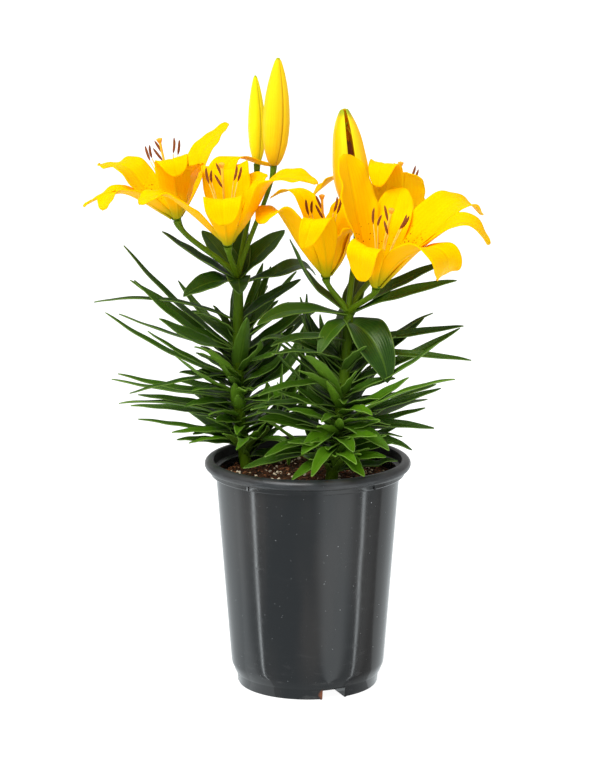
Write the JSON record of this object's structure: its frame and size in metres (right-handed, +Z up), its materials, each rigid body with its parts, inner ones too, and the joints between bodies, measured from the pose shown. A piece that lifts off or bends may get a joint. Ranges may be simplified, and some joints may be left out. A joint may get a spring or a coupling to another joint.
{
  "type": "potted asiatic lily",
  "caption": "Flowering lily plants with leafy stems, open blooms and buds, growing in soil in a round tapered nursery pot with a rolled rim and drain notches.",
  "frame": {"origin": "centre of the pot's flat base, on the surface that the pot stands on", "axes": "+Z up along the pot's axis, +X to the right and -Y towards the viewer of the front"},
  "size_m": [0.3181, 0.23, 0.5025],
  "materials": {
    "pot_plastic": "smooth dark slate plastic with a soft sheen",
    "soil": "loose potting mix with bark and pale grains",
    "bulb": "matt fleshy scales",
    "foliage": "waxy leaf with fine parallel veins",
    "tepals": "satin petal with a midrib and dark spots near the throat",
    "stamens": "dusty pollen on smooth pale filaments",
    "pistil": "smooth and slightly moist",
    "bud": "satin bud skin with green tips"
  },
  "bodies": {
    "root": {"pot": "pot_plastic", "soil": "soil", "bulb_left": "bulb", "bulb_right": "bulb", "leafy_stem_left": "foliage", "leafy_stem_right": "foliage", "bloom_left_tepals": "tepals", "bloom_left_stamens": "stamens", "bloom_left_pistil": "pistil", "bloom_centre_left_tepals": "tepals", "bloom_centre_left_stamens": "stamens", "bloom_centre_left_pistil": "pistil", "bloom_centre_tepals": "tepals", "bloom_centre_stamens": "stamens", "bloom_centre_pistil": "pistil", "bloom_right_tepals": "tepals", "bloom_right_stamens": "stamens", "bloom_right_pistil": "pistil", "bloom_back_tepals": "tepals", "bloom_back_stamens": "stamens", "bloom_back_pistil": "pistil", "bud_small": "bud", "bud_large": "bud", "bud_opening_tepals": "bud", "bud_opening_stamens": "stamens"}
  },
  "joints": []
}
